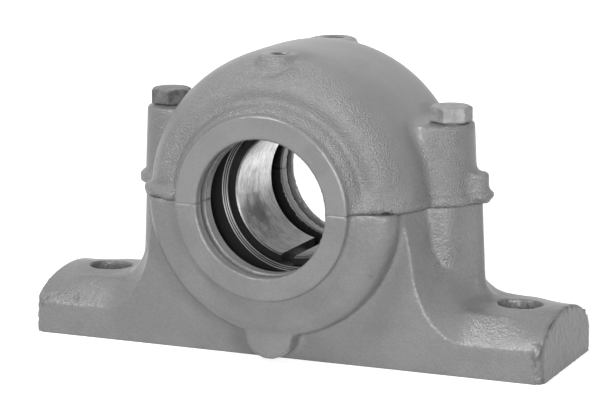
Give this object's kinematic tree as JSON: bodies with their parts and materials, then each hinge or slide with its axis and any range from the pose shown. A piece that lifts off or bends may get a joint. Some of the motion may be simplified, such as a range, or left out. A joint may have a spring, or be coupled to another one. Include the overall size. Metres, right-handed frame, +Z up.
{
  "type": "plummer block",
  "caption": "Split pillow block housing with a domed cap, bolted feet with slotted holes, and a self-aligning ball bearing on an adapter sleeve.",
  "frame": {"origin": "middle of the base's underside, below the shaft axis", "axes": "+X along the feet towards the end with the small lug, +Y along the shaft away from the lock nut, +Z up"},
  "size_m": [0.28, 0.1206, 0.1553],
  "materials": {
    "grey_casting": "mid-grey painted casting, matt, fairly smooth",
    "grey_casting_cap": "mid-grey painted casting with a coarse skin",
    "dark_bolt": "dark grey, dull, worn corners",
    "bolt": "grey, dull, worn corners",
    "dowel": "ground",
    "locating_ring": "turned",
    "bearing_steel": "ground",
    "ball_steel": "polished",
    "cage_steel": "pressed sheet",
    "sleeve_steel": "turned and bright, with fine streaks",
    "washer_steel": "dark sheet",
    "black_nut": "blackened"
  },
  "bodies": {
    "housing": {"base": "grey_casting", "cap": "grey_casting_cap", "cap_bolt_left": "dark_bolt", "cap_bolt_right": "bolt", "dowel_left": "dowel", "dowel_right": "dowel", "locating_ring_near": "locating_ring", "locating_ring_far": "locating_ring", "outer_ring": "bearing_steel"},
    "shaft_group": {"inner_ring": "bearing_steel", "adapter_sleeve": "sleeve_steel", "lock_washer": "washer_steel", "lock_nut": "black_nut"},
    "ball_group": {"balls_near": "ball_steel", "balls_far": "ball_steel", "cage": "cage_steel"}
  },
  "joints": [
    {"name": "shaft_spin", "type": "hinge", "parent": "housing", "child": "shaft_group", "pos_m": [0, 0.008, 0.08], "axis": [0, 1, 0], "continuous": true},
    {"name": "ball_spin", "type": "hinge", "parent": "housing", "child": "ball_group", "pos_m": [0, 0.008, 0.08], "axis": [0, 1, 0], "continuous": true}
  ],
  "couplings": [
    {"joint": "ball_spin", "follows": "shaft_spin", "ratio": 0.4386}
  ]
}
